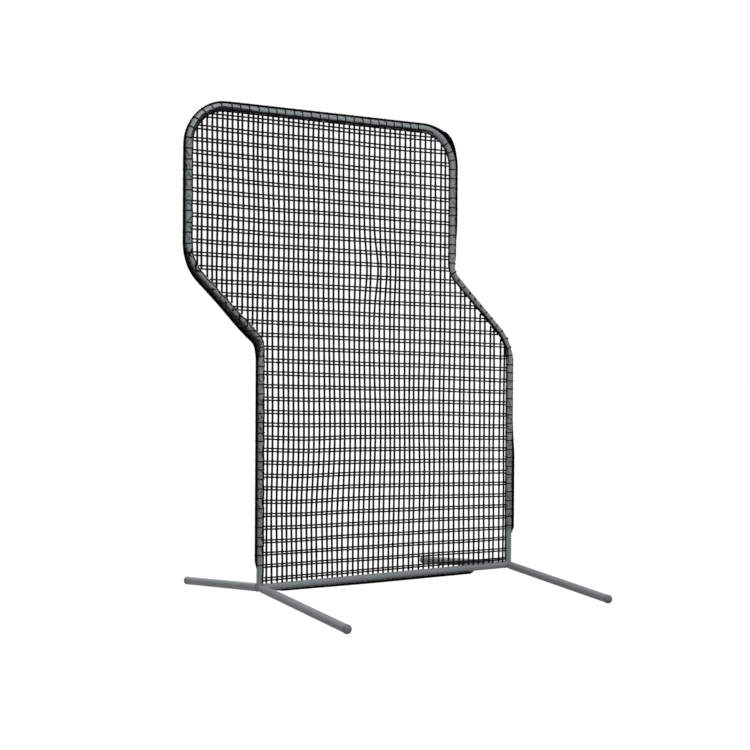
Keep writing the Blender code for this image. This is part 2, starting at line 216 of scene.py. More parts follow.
def fall(value, end, reach):
    """1 up to a reach before the end, 0 beyond the end, smooth between."""
    return smooth((end - value) / reach)


def hump(value, middle, reach):
    """1 in the middle, fading to both sides."""
    return np.exp(-((value - middle) / reach) ** 2)


def circle(number):
    """Angles of evenly spaced points round a circle."""
    return np.arange(number) * 2 * pi / number


class Route:
    """The tubes' axis in even steps, with the way it runs and the way outwards."""

    def __init__(self, corners, step):
        fine = np.array(rounded(corners, radians(1.5)))
        arc = np.concatenate([[0.0], np.cumsum(np.hypot(*np.diff(fine, axis=0).T))])
        self.length = arc[-1]
        self.s = np.linspace(0.0, self.length, max(2, round(self.length / step) + 1))
        self.p = np.stack([np.interp(self.s, arc, fine[:, axis]) for axis in (0, 1)], 1)
        self.t = unit(np.gradient(self.p, self.s, axis=0))
        self.o = np.stack([-self.t[:, 1], self.t[:, 0]], 1)

    def at(self, s, table):
        return np.stack([np.interp(s, self.s, table[:, axis]) for axis in (0, 1)], -1)

    def along(self, s):
        """The way the tubes run at one place, in space."""
        x, z = self.at(s, self.t)
        return np.array([x, 0, z])

    def beside(self, s, reach, angle):
        """Points at a distance from the axis, at an angle round it."""
        middle, outward = self.at(s, self.p), self.at(s, self.o)
        side = reach * np.cos(angle)
        flat = middle + outward * np.reshape(side, (-1, 1))
        y = np.broadcast_to(reach * np.sin(angle), np.shape(s))
        return np.stack([flat[:, 0], y, flat[:, 1]], 1)


# Meshes

class Strands:
    """Round strands, collected into one mesh with the way round and the way along as its UVs."""

    def __init__(self, sides):
        self.sides = sides
        self.verts, self.quads, self.uvs, self.caps = [], [], [], []
        self.count = 0

    def add(self, points, radii, across=(0, 1, 0), closed=False):
        """One strand: its radii are one number, one for each point, or one for each vertex."""
        points = np.asarray(points, float)
        rings, sides = len(points), self.sides
        if closed:
            run = np.roll(points, -1, 0) - np.roll(points, 1, 0)
        else:
            run = np.gradient(points, axis=0)
        run = unit(run)
        up = np.broadcast_to(np.asarray(across, float), run.shape)
        side = unit(np.cross(up, run))
        up = np.cross(run, side)
        radii = np.asarray(radii, float)
        if radii.ndim == 1:
            radii = radii[:, None]
        radii = np.broadcast_to(radii, (rings, sides))
        turn = circle(sides)[None, :, None]
        spread = side[:, None] * np.cos(turn) + up[:, None] * np.sin(turn)
        self.verts.append((points[:, None] + spread * radii[:, :, None]).reshape(-1, 3))
        steps = np.linalg.norm(np.roll(points, -1, 0) - points, axis=1)
        along = np.concatenate([[0.0], np.cumsum(steps)])
        last = rings if closed else rings - 1
        low = np.repeat(np.arange(last), sides)
        high = (low + 1) % rings
        here = np.tile(np.arange(sides), last)
        there = (here + 1) % sides
        base = self.count
        first, second = base + low * sides, base + high * sides
        self.quads.append(np.stack([first + here, first + there, second + there, second + here], 1))
        u0, u1 = here / sides, (here + 1) / sides
        v0, v1 = along[low], along[low + 1]
        self.uvs.append(np.stack([u0, v0, u1, v0, u1, v1, u0, v1], 1).reshape(-1, 2))
        if not closed:
            ring = np.arange(sides)
            self.caps += [base + ring[::-1], base + (rings - 1) * sides + ring]
        self.count += rings * sides

    def build(self, name, mat, body="frame"):
        faces = [*np.concatenate(self.quads), *self.caps]
        mesh = bpy.data.meshes.new(name)
        mesh.from_pydata(np.concatenate(self.verts), [], faces)
        layer = mesh.uv_layers.new(name="twist")
        flat = np.concatenate(self.uvs + [np.zeros((len(self.caps) * self.sides, 2))])
        layer.data.foreach_set("uv", flat.astype(np.float32).ravel())
        mesh.shade_smooth()
        return add(mesh, mat, body)


def new_object(name, data):
    obj = bpy.data.objects.new(name, data)
    bpy.context.scene.collection.objects.link(obj)
    return obj


def add(mesh, mat, body, place=None):
    """A piece of the part with its mesh's name, on its body and in its material's slot."""
    obj = new_object(mesh.name, mesh)
    if place is not None:
        obj.matrix_world = place
    mesh.materials.clear()
    mesh.materials.append(mat)
    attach(obj, body)
    return obj


def band(lower, upper):
    """The faces between two rings of vertices."""
    return zip(lower, lower[1:] + lower[:1], upper[1:] + upper[:1], upper)


def smooth_mesh(name, verts, faces):
    mesh = bpy.data.meshes.new(name)
    mesh.from_pydata(verts, [], faces)
    mesh.shade_smooth()
    mesh.set_sharp_from_angle(angle=SHARP_EDGE)
    return mesh


def tube_mesh(name, path, outer_r, inner_r, sides, cuts=(None, None), chamfer=0.0):
    """A tube with a bore along a path in the XZ plane, whose ends may be cut at a slant."""
    across = Vector((0, 1, 0))
    verts, faces, shells = [], [], []
    for radius in (outer_r, inner_r):
        rings = []
        for index, (point, (before, after)) in enumerate(zip(path, ways_beside(path))):
            along = (before + after).normalized()
            side = across.cross(along).normalized()
            wider = 1 / along.dot(after)
            up = along.cross(side)
            plane = cuts[0] if index == 0 else cuts[1] if index == len(path) - 1 else None
            at_end = plane is None and index in (0, len(path) - 1)
            here = radius - chamfer if at_end and radius == outer_r else radius
            ring = []
            for angle in circle(sides):
                spot = side * (here * wider * cos(angle)) + up * (here * sin(angle))
                if plane is not None:
                    spot -= along * (plane.dot(spot) / plane.dot(along))
                ring.append(len(verts))
                verts.append(point + spot)
            rings.append(ring)
        shells.append(rings)
    for rings, flip in zip(shells, (1, -1)):
        for lower, upper in zip(rings, rings[1:]):
            faces += [face[::flip] for face in band(lower, upper)]
    outer, inner = shells
    for end, flip in ((0, 1), (-1, -1)):
        faces += [(d, a, b, c)[::flip] for a, b, c, d in band(inner[end], outer[end])]
    return smooth_mesh(name, verts, faces)


def ended(path):
    """A path with a short step at both ends, for a chamfer."""
    first = (path[1] - path[0]).normalized() * CHAMFER
    last = (path[-1] - path[-2]).normalized() * CHAMFER
    return [path[0], path[0] + first] + path[1:-1] + [path[-1] - last, path[-1]]


def turned_mesh(name, profile, sides):
    """A solid of revolution about Z, from its profile of radius and height."""
    verts, faces, rings = [], [], []
    for radius, height in profile:
        if radius == 0:
            rings.append([len(verts)] * sides)
            verts.append((0, 0, height))
            continue
        rings.append(list(range(len(verts), len(verts) + sides)))
        verts += [(radius * cos(angle), radius * sin(angle), height) for angle in circle(sides)]
    for lower, upper in zip(rings, rings[1:]):
        faces += [tuple(dict.fromkeys(face)) for face in band(lower, upper)]
    return smooth_mesh(name, verts, faces)


# Materials

def new_material(name, slot, colour, roughness, metallic=0.0):
    mat = bpy.data.materials.new(name)
    mat.use_nodes = True
    mat["slot"] = slot
    mat.diffuse_color = (*colour, 1.0)
    shader = surface(mat)
    shader["Base Color"].default_value = (*colour, 1.0)
    shader["Roughness"].default_value = roughness
    shader["Metallic"].default_value = metallic
    return mat


def surface(mat):
    """The inputs of a material's shader."""
    return mat.node_tree.nodes["Principled BSDF"].inputs


def node(tree, kind, **values):
    """A new shader node, with its settings and its inputs' values by name."""
    made = tree.nodes.new("ShaderNode" + kind)
    for key, value in values.items():
        if hasattr(made, key):
            setattr(made, key, value)
        else:
            made.inputs[key.replace("_", " ")].default_value = value
    return made


def result_of(tree, operation, *terms):
    """The result of a math node whose terms are numbers or other nodes' outputs."""
    made = node(tree, "Math", operation=operation)
    for socket, term in zip(made.inputs, terms):
        if isinstance(term, float):
            socket.default_value = term
        else:
            tree.links.new(term, socket)
    return made.outputs[0]


def noise_of(mat, scale, detail=2.0, stretch=None):
    """A noise's height, in the object's own space."""
    tree = mat.node_tree
    vector = node(tree, "TexCoord").outputs["Object"]
    if stretch:
        mapping = node(tree, "Mapping", Scale=stretch)
        tree.links.new(vector, mapping.inputs["Vector"])
        vector = mapping.outputs["Vector"]
    made = node(tree, "TexNoise", Scale=scale, Detail=detail)
    tree.links.new(vector, made.inputs["Vector"])
    return made.outputs["Fac"]


def vary_colour(mat, height, dark, light, low=0.3, high=0.7):
    tree = mat.node_tree
    ramp = node(tree, "ValToRGB")
    for index, place, colour in ((0, low, dark), (1, high, light)):
        ramp.color_ramp.elements[index].position = place
        ramp.color_ramp.elements[index].color = (*colour, 1.0)
    tree.links.new(height, ramp.inputs["Fac"])
    tree.links.new(ramp.outputs["Color"], surface(mat)["Base Color"])


def vary_roughness(mat, height, least, most, low=0.3, high=0.7):
    tree = mat.node_tree
    reach = node(tree, "MapRange", From_Min=low, From_Max=high, To_Min=least, To_Max=most)
    tree.links.new(height, reach.inputs["Value"])
    tree.links.new(reach.outputs["Result"], surface(mat)["Roughness"])


def bump(mat, height, strength, distance, before=None):
    """A bump, which may add to one made before it."""
    tree = mat.node_tree
    made = node(tree, "Bump", Strength=strength, Distance=distance)
    tree.links.new(height, made.inputs["Height"])
    if before is not None:
        tree.links.new(before.outputs["Normal"], made.inputs["Normal"])
    tree.links.new(made.outputs["Normal"], surface(mat)["Normal"])
    return made


def scaled(colour, factor):
    return tuple(part * factor for part in colour)


def powder_coat():
    """Satin grey powder coat with its fine orange peel and faint cloudiness."""
    colour = (0.24, 0.26, 0.27)
    mat = new_material("powder_coat", "coated_steel", colour, roughness=0.46)
    clouds = noise_of(mat, scale=9.0, detail=4.0)
    vary_colour(mat, clouds, scaled(colour, 0.93), scaled(colour, 1.06))
    vary_roughness(mat, clouds, least=0.42, most=0.54)
    peel = noise_of(mat, scale=620.0, detail=1.0)
    first = bump(mat, peel, strength=0.20, distance=0.0004)
    waves = noise_of(mat, scale=60.0)
    bump(mat, waves, strength=0.10, distance=0.0006, before=first)
    return mat


def weld_coat():
    """The same coat over a weld bead, whose ripples are a bump."""
    colour = (0.22, 0.24, 0.25)
    mat = new_material("weld_coat", "coated_steel", colour, roughness=0.50)
    clouds = noise_of(mat, scale=60.0, detail=3.0)
    vary_colour(mat, clouds, scaled(colour, 0.85), scaled(colour, 1.05))
    ripples = noise_of(mat, scale=480.0)
    bump(mat, ripples, strength=0.5, distance=0.0008)
    return mat


def plug_plastic():
    """Matte moulded plastic with a fine grain, a little rubbed."""
    colour = (0.15, 0.16, 0.165)
    mat = new_material("plug_plastic", "plug_plastic", colour, roughness=0.55)
    scuffs = noise_of(mat, scale=120.0, detail=5.0)
    vary_colour(mat, scuffs, scaled(colour, 0.85), scaled(colour, 1.25), 0.35, 0.75)
    vary_roughness(mat, scuffs, least=0.48, most=0.66)
    grain = noise_of(mat, scale=1800.0, detail=1.0)
    bump(mat, grain, strength=0.25, distance=0.0002)
    return mat


def zinc_plate():
    """Zinc with a faint spangle, brushed along its length."""
    mat = new_material("zinc_plate", "zinc", (0.55, 0.56, 0.57), roughness=0.38, metallic=0.9)
    spangle = noise_of(mat, scale=240.0, detail=3.0)
    vary_colour(mat, spangle, (0.46, 0.47, 0.49), (0.60, 0.60, 0.60))
    vary_roughness(mat, spangle, least=0.30, most=0.48)
    brushed = noise_of(mat, scale=300.0, stretch=(1.0, 1.0, 0.08))
    bump(mat, brushed, strength=0.15, distance=0.0002)
    return mat


def twisted(name, slot, colour, lay, depth, dark=0.7, light=1.5, patch=35.0):
    """Yarn of three plies: stripes that wind round a strand, from its UVs, with fibres on them."""
    mat = new_material(name, slot, colour, roughness=0.85)
    surface(mat)["Specular IOR Level"].default_value = 0.0
    tree = mat.node_tree
    uv = node(tree, "UVMap", uv_map="twist")
    split = node(tree, "SeparateXYZ")
    tree.links.new(uv.outputs["UV"], split.inputs["Vector"])
    plies = 3
    winding = plies * 2 * pi
    around = result_of(tree, "MULTIPLY", split.outputs["X"], winding)
    along = result_of(tree, "MULTIPLY_ADD", split.outputs["Y"], winding / lay, around)
    wave = result_of(tree, "SINE", along)
    fibres = noise_of(mat, scale=1400.0)
    both = result_of(tree, "MULTIPLY_ADD", fibres, 0.5, wave)
    bump(mat, both, strength=0.6, distance=depth)
    patches = noise_of(mat, scale=patch, detail=3.0)
    vary_colour(mat, patches, scaled(colour, dark), scaled(colour, light))
    return mat


STEEL = powder_coat()
WELD = weld_coat()
PLASTIC = plug_plastic()
ZINC = zinc_plate()
TWINE = twisted("net_twine", "net_cord", (0.016, 0.016, 0.017), lay=0.012, depth=0.0005)
SPARE = twisted("spare_netting", "net_cord", (0.034, 0.036, 0.036), lay=0.012, depth=0.0008,
                dark=0.1, light=2.6, patch=75.0)
ROPE = twisted("laid_rope", "hem_rope", (0.004, 0.004, 0.0045), lay=0.022, depth=0.0006)
LACE = twisted("lacing_cord", "hem_rope", (0.006, 0.006, 0.0065), lay=0.006, depth=0.0003)


# Steel

def make_tubes():
    chain = frame_corners()
    left_x, right_x = chain[0][0].x, chain[-1][0].x
    top_left, top_right = chain[3][0].x, chain[4][0].x
    seam = GAP / 2

    def end(x, z):
        return Vector((x, z)), 0.0

    def lifted(*corners):
        return [Vector((point.x, 0, point.y)) for point in rounded(corners)]

    bow = lifted(end(top_left, SPLICE_Z + seam), chain[3], chain[4],
                 end(top_right, SPLICE_Z + seam))
    left = lifted(end(left_x, RAIL_Z + seam), chain[1], chain[2], end(top_left, SPLICE_Z - seam))
    right = lifted(end(right_x, RAIL_Z + seam), chain[6], chain[5],
                   end(top_right, SPLICE_Z - seam))
    rail = [Vector((left_x + 2 * seam, 0, RAIL_Z)), Vector((right_x - 2 * seam, 0, RAIL_Z))]
    mitre_left, mitre_right = Vector((-1, 0, 1)).normalized(), Vector((1, 0, 1)).normalized()
    square = (None, None)
    for name, path, cuts, node_name in (
            ("smooth_top_bow", ended(bow), square, "top_rail_tube"),
            ("smooth_left_tube", left, (mitre_left, None), "left_side_tube"),
            ("smooth_right_tube", right, (mitre_right, None), "right_side_tube"),
            ("smooth_bottom_rail", rail, (mitre_left, mitre_right), "bottom_rail_tube")):
        mesh = tube_mesh(name, path, TUBE_R, TUBE_R - TUBE_WALL, TUBE_SIDES, cuts,
                         CHAMFER if cuts == square else 0.0)
        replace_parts(add(mesh, STEEL, "frame"), node_name)


def leg_place(side, end):
    """A leg's place: its Z runs out along the leg from the frame's corner."""
    corner = Vector((LOWER_X + side * HALF_WIDTH, 0, RAIL_Z))
    way = Vector((0, end * cos(LEG_SLOPE), -sin(LEG_SLOPE)))
    turn = Vector((0, 0, 1)).rotation_difference(way).to_matrix().to_4x4()
    return Matrix.Translation(corner) @ turn


def plug_profile():
    """Radius and height along a plug: a ribbed insert, a collar and a dome."""
    ribs, collar_rings, dome_rings = 3, 8, 10
    pitch = PLUG_INSERT / ribs
    points = [(0, -PLUG_INSERT), (PLUG_CORE_R, -PLUG_INSERT)]
    for rib in range(ribs):
        base = -PLUG_INSERT + rib * pitch
        points += [(PLUG_CORE_R, base + 0.35 * pitch), (PLUG_RIB_R, base + 0.65 * pitch),
                   (PLUG_CORE_R, base + 0.75 * pitch)]
    points += [(PLUG_CORE_R, 0), (PLUG_R - CHAMFER, 0), (PLUG_R, CHAMFER)]
    points += [(PLUG_R, CHAMFER + (PLUG_COLLAR - CHAMFER) * k / collar_rings)
               for k in range(1, collar_rings + 1)]
    for k in range(1, dome_rings):
        angle = k / dome_rings * pi / 2
        points.append((PLUG_R * cos(angle), PLUG_COLLAR + PLUG_DOME * sin(angle)))
    return points + [(0, PLUG_COLLAR + PLUG_DOME)]


def make_legs():
    """The four legs and their plugs, which are flat where they stand on the floor."""
    for label, side in (("left", -1), ("right", 1)):
        for end_label, end in (("front", -1), ("rear", 1)):
            name = f"{label}_{end_label}"
            body = f"{name}_leg"
            place = leg_place(side, end)
            path = ended([Vector((0, 0, LEG_START)), Vector((0, 0, LEG_END))])
            leg = tube_mesh(f"smooth_{name}_leg", path, LEG_R, LEG_R - LEG_WALL, LEG_SIDES,
                            chamfer=CHAMFER)
            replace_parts(add(leg, STEEL, body, place), f"{name}_leg")
            seat = place @ Matrix.Translation((0, 0, LEG_END + GAP))
            plug = turned_mesh(f"smooth_{name}_plug", plug_profile(), LEG_SIDES)
            back = seat.inverted()
            for vert in plug.vertices:
                spot = seat @ vert.co
                if spot.z < 0:
                    vert.co = back @ Vector((spot.x, spot.y, 0.0))
            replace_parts(add(plug, PLASTIC, body, seat), f"{name}_leg_plug")


def make_welds():
    """Beads along the mitres and round the spigots' roots."""
    beads = Strands(BEAD_SIDES)
    turn = circle(72)
    reach = TUBE_R + 0.0001
    for side in (-1, 1):
        x = LOWER_X + side * HALF_WIDTH
        ring = np.stack([x + reach * np.cos(turn), reach * np.sin(turn),
                         RAIL_Z - side * reach * np.cos(turn)], 1)
        beads.add(ring, BEAD_R, Vector((side, 0, 1)).normalized(), closed=True)
        for end in (-1, 1):
            # A spigot's root lies on the post above the mitre, and on the rail below it
            on_post = np.sin(turn) + side * np.cos(turn) >= 0
            out = TUBE_R * np.where(on_post, np.abs(np.sin(turn)), np.abs(np.cos(turn)))
            root = np.stack([x + reach * np.cos(turn), end * (out + 0.0002),
                             RAIL_Z + reach * np.sin(turn) - out * tan(LEG_SLOPE)], 1)
            beads.add(root, BEAD_R, (0, end, 0.02), closed=True)
    beads.build("corner_weld_beads", WELD)


# Net

EDGE = Route(frame_corners(), 0.004)
RAIL_LINE = np.stack([np.linspace(LOWER_X - HALF_WIDTH, LOWER_X + HALF_WIDTH, 300),
                      np.full(300, RAIL_Z)], 1)

# Where the net is pulled aside, how far to each side, and the rear layer's share of it
Pull = namedtuple("Pull", "x z reach_x reach_z shift_x shift_z rear_share", defaults=[1.0])
PULLS = (
    Pull(0.062, 1.290, 0.085, 0.105, 0.0160, 0.0000, 0.3),
    Pull(-0.217, 0.375, 0.150, 0.160, -0.0080, 0.0000),
    Pull(-0.260, 0.520, 0.160, 0.260, 0.0000, -0.0070),
    Pull(-0.420, 1.500, 0.200, 0.180, 0.0050, -0.0040),
    Pull(0.330, 0.760, 0.180, 0.200, -0.0050, 0.0030),
    Pull(0.100, 1.700, 0.240, 0.120, 0.0000, -0.0040),
    Pull(0.000, 1.720, 0.450, 0.300, -0.0050, 0.0000),
    Pull(-0.080, 0.620, 0.330, 0.260, 0.0090, 0.0000),
)


def nearest(x, z, line, chunk=400):
    """Distance of points from a line of points, a chunk at a time."""
    found = np.empty(len(x))
    for start in range(0, len(x), chunk):
        part = slice(start, start + chunk)
        away = np.hypot(x[part, None] - line[None, :, 0], z[part, None] - line[None, :, 1])
        found[part] = away.min(1)
    return found


class Waves:
    """A slow wave in every cord that runs one way: how far it goes, its start and its length."""

    def __init__(self, draw, number, reaches, lengths):
        self.reach = draw.uniform(*reaches, number)
        self.phase = draw.uniform(0, 2 * pi, number)
        self.length = draw.uniform(*lengths, number)

    def at(self, number, along):
        """The shift at a place that may lie between two cords, blended from both."""
        low = np.floor(number).astype(int)
        share = number - low
        shifts = [self.reach[index] * np.sin(2 * pi * along / self.length[index]
                                             + self.phase[index])
                  for index in (low, low + 1)]
        return (1 - share) * shifts[0] + share * shifts[1]


class Layer:
    """One layer of the net: a grid of columns and rows that is pulled a little out of true."""

    def __init__(self, y, middle_x, top_z, seed):
        self.y = y
        number = np.arange(COLUMNS) - MIDDLE_COLUMN
        self.columns = middle_x + COLUMN_PITCH * number + COLUMN_GROWTH * number ** 2
        self.rows = top_z - ROW_PITCH * np.arange(ROWS)
        draw = np.random.default_rng(seed)
        self.columns += draw.uniform(-COLUMN_PLAY, COLUMN_PLAY, COLUMNS)
        self.sway = Waves(draw, COLUMNS + 1, reaches=(0.0004, 0.0016), lengths=(0.4, 1.3))
        self.depth_phase = draw.uniform(0, 2 * pi, 4)
        self.rows += draw.uniform(-ROW_PLAY, ROW_PLAY, ROWS)
        same_in_both = np.random.default_rng(5)
        self.dip = Waves(same_in_both, ROWS + 2, reaches=(0.0003, 0.0014), lengths=(0.5, 1.2))

    def moved(self, x, z):
        """Where a point of the flat grid really is."""
        dx, dz = np.zeros(len(x)), np.zeros(len(x))
        for pull in PULLS:
            weight = hump(x, pull.x, pull.reach_x) * hump(z, pull.z, pull.reach_z)
            if self.y > 0:
                weight *= pull.rear_share
            dx += weight * pull.shift_x
            dz += weight * pull.shift_z
        # The rows run down to the right, most of all below the shoulder
        tilt = 0.014 * fall(z, 1.85, 0.25)
        tilt += 0.015 * fall(z, 1.30, 0.35) * rise(z, 0.20, 0.25)
        # They lie a little higher at the shoulder's top, and lower over the rail
        dz += 0.008 * hump(z, 1.32, 0.25) - 0.005 * hump(z, 0.27, 0.15)
        dz -= tilt * x
        dx += self.sway.at(np.interp(x, self.columns, np.arange(COLUMNS)), z)
        dz += self.dip.at(np.interp(-z, -self.rows, np.arange(ROWS)), x)
        a, b, c, d = self.depth_phase
        billow = np.sin(7 * x + a) * np.sin(6 * z + b) + np.sin(13 * x + c) * np.sin(11 * z + d)
        # The rows lie straight at the rail, and both layers close up where they are tied
        x, z = x + dx, z + dz * rise(nearest(x, z, RAIL_LINE), TUBE_R, FREE_OF_RAIL)
        tied = TIED_SHARE * self.y
        free = rise(nearest(x, z, EDGE.p), TUBE_R, FREE_OF_TUBE)
        return np.stack([x, tied + (self.y + BILLOW * billow - tied) * free, z], 1)

    def held(self, low, high, places_of):
        """The part of a cord from tube to tube, once it is pulled out of true."""
        margin, samples, clearance = 0.022, 700, 0.0002
        along = np.linspace(low - margin, high + margin, samples)
        points = self.moved(*places_of(along))
        inside = nearest(points[:, 0], points[:, 2], EDGE.p) > TUBE_R + clearance
        changes = np.flatnonzero(np.diff(np.concatenate([[False], inside, [False]])))
        starts, stops = changes[::2], changes[1::2] - 1
        longest = np.argmax(stops - starts)
        return along[starts[longest]], along[stops[longest]]


def crossings(fixed, axis, line):
    """Where a column (axis 0) or a row (axis 1) meets an outline, as the other coordinate."""
    a, b = line[:-1], line[1:]
    over = (a[:, axis] - fixed) * (b[:, axis] - fixed) <= 0
    a, b = a[over], b[over]
    span = b[:, axis] - a[:, axis]
    part = np.where(np.abs(span) < 1e-12, 0.0, (fixed - a[:, axis]) / np.where(span == 0, 1, span))
    other = 1 - axis
    return a[:, other] + part * (b[:, other] - a[:, other])


def stations(low, high, knots):
    """Places along a cord with a knot's thickness where it crosses the others."""
    places = [(low, 1.0), (high, 1.0)]
    inside = [knot for knot in knots if low + KNOT_REACH < knot < high - KNOT_REACH]
    for knot in inside:
        places += [(knot - KNOT_REACH, 1.0), (knot, KNOT), (knot + KNOT_REACH, 1.0)]
    marks = [low] + inside + [high]
    for a, b in zip(marks, marks[1:]):
        if b - a > 3 * KNOT_REACH:
            places.append(((a + b) / 2, MID_TWINE))
    places.sort()
    return np.array([place for place, _ in places]), np.array([size for _, size in places])


def add_row(cords, layer, z, ends):
    """A row between the places where it meets the tubes."""
    if len(ends) < 2:
        return
    low, high = layer.held(ends.min(), ends.max(), lambda xs: (xs, np.full(len(xs), z)))
    xs, sizes = stations(low, high, layer.columns)
    cords.add(layer.moved(xs, np.full(len(xs), z)), ROW_R * sizes, (0, 0, 1))


def add_column(cords, layer, x, ends):
    """A column between the places where it meets the tubes, hitched round the bottom rail."""
    if len(ends) == 0:
        return
    off_rail, off_hitch, shortest = 0.03, 0.004, 0.01
    at_rail = abs(x - LOWER_X) < HALF_WIDTH - TUBE_R
    rail_top = RAIL_Z + TUBE_R
    low = rail_top + off_rail if at_rail else ends.min()
    low, high = layer.held(low, ends.max(), lambda zs: (np.full(len(zs), x), zs))
    if at_rail:
        low = rail_top + off_hitch
    if high - low < shortest:
        return
    zs, sizes = stations(low, high, layer.rows)
    points = layer.moved(np.full(len(zs), x), zs)
    if at_rail:
        wrap = hitch(points[0], FOOT_ROPE_FROM < x < FOOT_ROPE_TO)
        points = np.concatenate([wrap, points])
        sizes = np.concatenate([np.full(len(wrap), HITCH_TWINE), sizes])
    cords.add(points, COLUMN_R * sizes, (1, 0, 0))


def hitch(start, to_rope):
    """A column's lower end, round the back of the rail and perhaps on to the foot rope."""
    reach = TUBE_R + COLUMN_R + 0.0004
    # Angles run from the rail's underside up its back
    end = radians(30 if to_rope else 95)
    turn = np.linspace(pi - np.arcsin(start[1] / reach), end, 8)[::-1]
    back = reach * np.sin(turn)
    side = start[0] + HITCH_LEAN * (back - start[1])
    return np.stack([side, back, RAIL_Z - reach * np.cos(turn)], 1)


def make_net():
    inner = np.array(rounded(offset_corners(frame_corners(0.0, 0.0), -TUBE_R)))
    for label, y, middle_x, top_z, seed in (
            ("front", -LAYER_DEPTH, FRONT_COLUMN_X, TOP_ROW_Z, 11),
            ("rear", LAYER_DEPTH, REAR_COLUMN_X, TOP_ROW_Z + REAR_ROWS, 23)):
        layer = Layer(y, middle_x, top_z, seed)
        cords = Strands(CORD_SIDES)
        for z in layer.rows:
            add_row(cords, layer, z, crossings(z, 1, inner))
        for x in layer.columns:
            add_column(cords, layer, x, crossings(x, 0, inner))
        net = cords.build(f"{label}_net_layer", TWINE)
        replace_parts(net, *[f"{label}_net_{level}" for level in ("lower", "shoulder", "upper")])


# Ropes and loose netting

def lobed(radius, along, lay):
    """The radii of a laid rope, with the lobes of its three strands."""
    phase = 1.5 * (circle(ROPE_SIDES)[None, :] - 2 * pi * along[:, None] / lay)
    return radius[:, None] * (0.84 + 0.16 * np.abs(np.cos(phase)))


def rope_seat(line, s):
    """The edge rope: its angle round the tubes, how far it stands off them, and its radius.

    Each change is a height over the floor and the length that it takes, read off the photo.
    """
    x, z = line.at(s, line.p).T
    x = x - UPPER_X
    left = s < line.length / 2
    # On the right it goes behind the tube at the slope, and comes out again down the lower post
    behind = 0.25 * fall(z, 1.48, 0.06) + 0.75 * fall(z, 1.37, 0.07)
    behind = behind * (0.3 * rise(z, 0.60, 0.10) + 0.7 * rise(z, 0.94, 0.05))
    # On the left, spare netting keeps it off the slope, most of all at the slope's foot
    slope = rise(z, 0.93, 0.07) * fall(z, 1.38, 0.14)
    away = np.where(left, 0.0055 * slope + 0.0065 * hump(z, 1.070, 0.070) * slope, 0.0)
    # It is thick at the top right corner and down the right posts, and thin at the top left corner
    inset = 0.044
    turn_out = hump(np.hypot(x - HALF_WIDTH + inset, z - TOP_Z + inset), 0.0, 0.055)
    turn_in = hump(np.hypot(x + HALF_WIDTH - inset, z - TOP_Z + inset), 0.0, 0.090)
    high_post = np.where(left | (x < HALF_WIDTH - 0.06), 0.0, rise(z, 1.34, 0.20))
    low_post = np.where(left, 0.0, fall(z, 0.64, 0.12))
    radius = EDGE_ROPE_R * (1 + 0.90 * turn_out - 0.35 * turn_in + 0.35 * high_post
                            + 0.35 * low_post)
    ends = np.minimum(s, line.length - s)
    radius = radius * (0.35 + 0.65 * rise(ends, 0.0, 0.028))
    angle = (radians(-6) * rise(z, TOP_Z - CORNER_R, CORNER_R)
             + np.where(left, 0.0, radians(42) * behind)
             - radians(14) * (turn_out + low_post))
    return angle, away, radius


def make_edge_rope(line):
    angle, away, radius = rope_seat(line, line.s)
    rope = Strands(ROPE_SIDES)
    rope.add(line.beside(line.s, TUBE_R + radius + away, angle),
             lobed(radius, line.s, EDGE_ROPE_LAY))
    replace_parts(rope.build("edge_rope", ROPE), "net_edge_hem")


def bundle(strands, route, s, reach, angle, thick, number, yarn, seed):
    """Loose strands that wander inside a round bunch beside the tubes."""
    draw = np.random.default_rng(seed)
    middle, outward = route.beside(s, reach, angle), route.at(s, route.o)

    def wave(shortest, longest):
        return np.sin(2 * pi * s / draw.uniform(shortest, longest) + draw.uniform(0, 6.3))

    for index in range(number):
        start = 2 * pi * index / number + draw.uniform(-0.4, 0.4)
        depth = draw.uniform(0.35, 1.0) if index else 0.1  # the first is the core
        swirl = start + 2.2 * wave(0.18, 0.42)
        spread = np.maximum(thick - yarn, 0.0) * depth * (0.8 + 0.2 * wave(0.05, 0.12))
        out, back = spread * np.cos(swirl), spread * np.sin(swirl)
        points = middle + np.stack([outward[:, 0] * out, back, outward[:, 1] * out], 1)
        radii = yarn * (0.85 + 0.25 * np.sin(2 * pi * s / 0.09 + draw.uniform(0, 6.3)))
        strands.add(points, radii)


